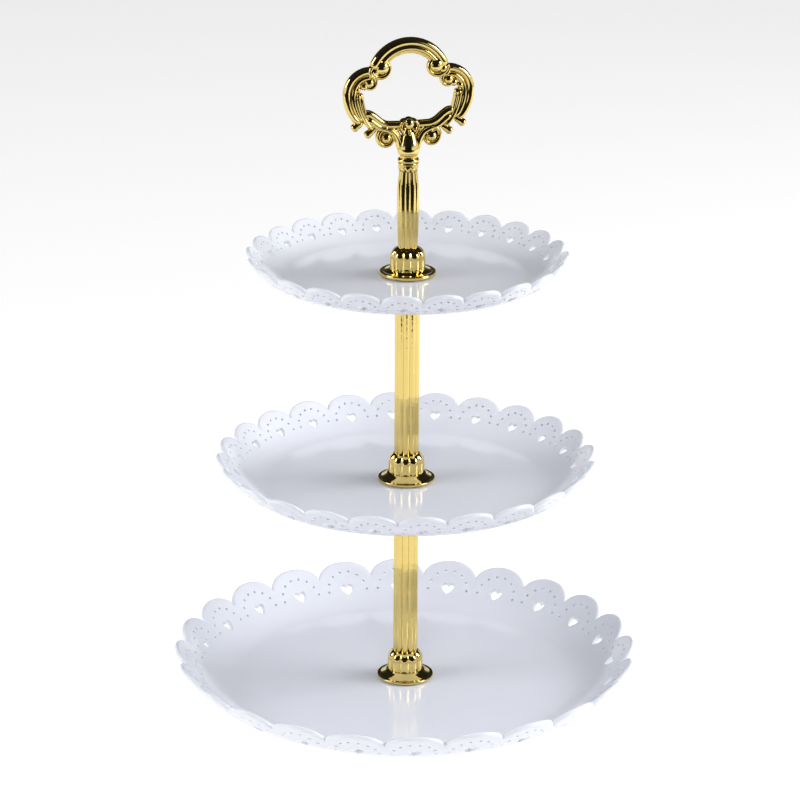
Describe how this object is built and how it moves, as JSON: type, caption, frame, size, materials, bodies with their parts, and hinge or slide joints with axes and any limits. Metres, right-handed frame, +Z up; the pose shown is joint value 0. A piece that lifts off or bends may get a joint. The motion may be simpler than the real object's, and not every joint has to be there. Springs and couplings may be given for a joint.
{
  "type": "tiered cake stand",
  "caption": "Tiered cake stand: pierced scalloped dishes on a screwed reeded post with a scrolled ring handle.",
  "frame": {"origin": "on the post's axis at the table, the bottom dish's foot ring standing on z = 0", "axes": "+Z up along the post, the handle's ring lies in the XZ plane, +Y goes to the back"},
  "size_m": [0.2598, 0.2598, 0.3744],
  "materials": {
    "plate": "glossy",
    "gold": "polished",
    "insert": "machined",
    "steel": "zinc plated",
    "gasket": "matte"
  },
  "bodies": {
    "base": {"bottom_plate": "plate", "base_pad": "gasket", "base_washer": "steel", "base_screw": "steel"},
    "lower_seat": {"bottom_plate_upper_gasket": "gasket"},
    "lower_post": {"lower_foot": "gold", "lower_foot_insert": "insert", "lower_tube": "gold", "lower_tube_cap": "gold", "lower_stud": "steel", "middle_plate_lower_gasket": "gasket"},
    "middle_dish": {"middle_plate": "plate"},
    "upper_seat": {"middle_plate_upper_gasket": "gasket"},
    "upper_post": {"upper_foot": "gold", "upper_foot_insert": "insert", "upper_tube": "gold", "upper_tube_cap": "gold", "upper_stud": "steel", "top_plate_lower_gasket": "gasket"},
    "top_dish": {"top_plate": "plate"},
    "handle_seat": {"top_plate_upper_gasket": "gasket"},
    "handle": {"handle_foot": "gold", "handle_foot_insert": "insert", "handle_stem": "gold", "handle_collar": "gold", "handle_tie_rod": "steel", "handle_ring": "gold"}
  },
  "joints": [
    {"name": "lower_post_rise", "type": "slide", "parent": "base", "child": "lower_seat", "axis": [0, 0, 1], "range_m": [0, 0.008]},
    {"name": "lower_post_turn", "type": "hinge", "parent": "lower_seat", "child": "lower_post", "pos_m": [0, 0, 0.0088], "axis": [0, 0, 1], "range_deg": [0, 2880]},
    {"name": "middle_plate_spin", "type": "hinge", "parent": "lower_post", "child": "middle_dish", "pos_m": [0, 0, 0.123], "axis": [0, 0, 1], "continuous": true},
    {"name": "upper_post_rise", "type": "slide", "parent": "lower_post", "child": "upper_seat", "axis": [0, 0, 1], "range_m": [0, 0.008]},
    {"name": "upper_post_turn", "type": "hinge", "parent": "upper_seat", "child": "upper_post", "pos_m": [0, 0, 0.1266], "axis": [0, 0, 1], "range_deg": [0, 2880]},
    {"name": "top_plate_spin", "type": "hinge", "parent": "upper_post", "child": "top_dish", "pos_m": [0, 0, 0.241], "axis": [0, 0, 1], "continuous": true},
    {"name": "handle_rise", "type": "slide", "parent": "upper_post", "child": "handle_seat", "axis": [0, 0, 1], "range_m": [0, 0.008]},
    {"name": "handle_turn", "type": "hinge", "parent": "handle_seat", "child": "handle", "pos_m": [0, 0, 0.2443], "axis": [0, 0, 1], "range_deg": [0, 2880]}
  ],
  "couplings": [
    {"joint": "lower_post_turn", "follows": "lower_post_rise", "rad_per_m": 6283.2},
    {"joint": "upper_post_turn", "follows": "upper_post_rise", "rad_per_m": 6283.2},
    {"joint": "handle_turn", "follows": "handle_rise", "rad_per_m": 6283.2}
  ]
}
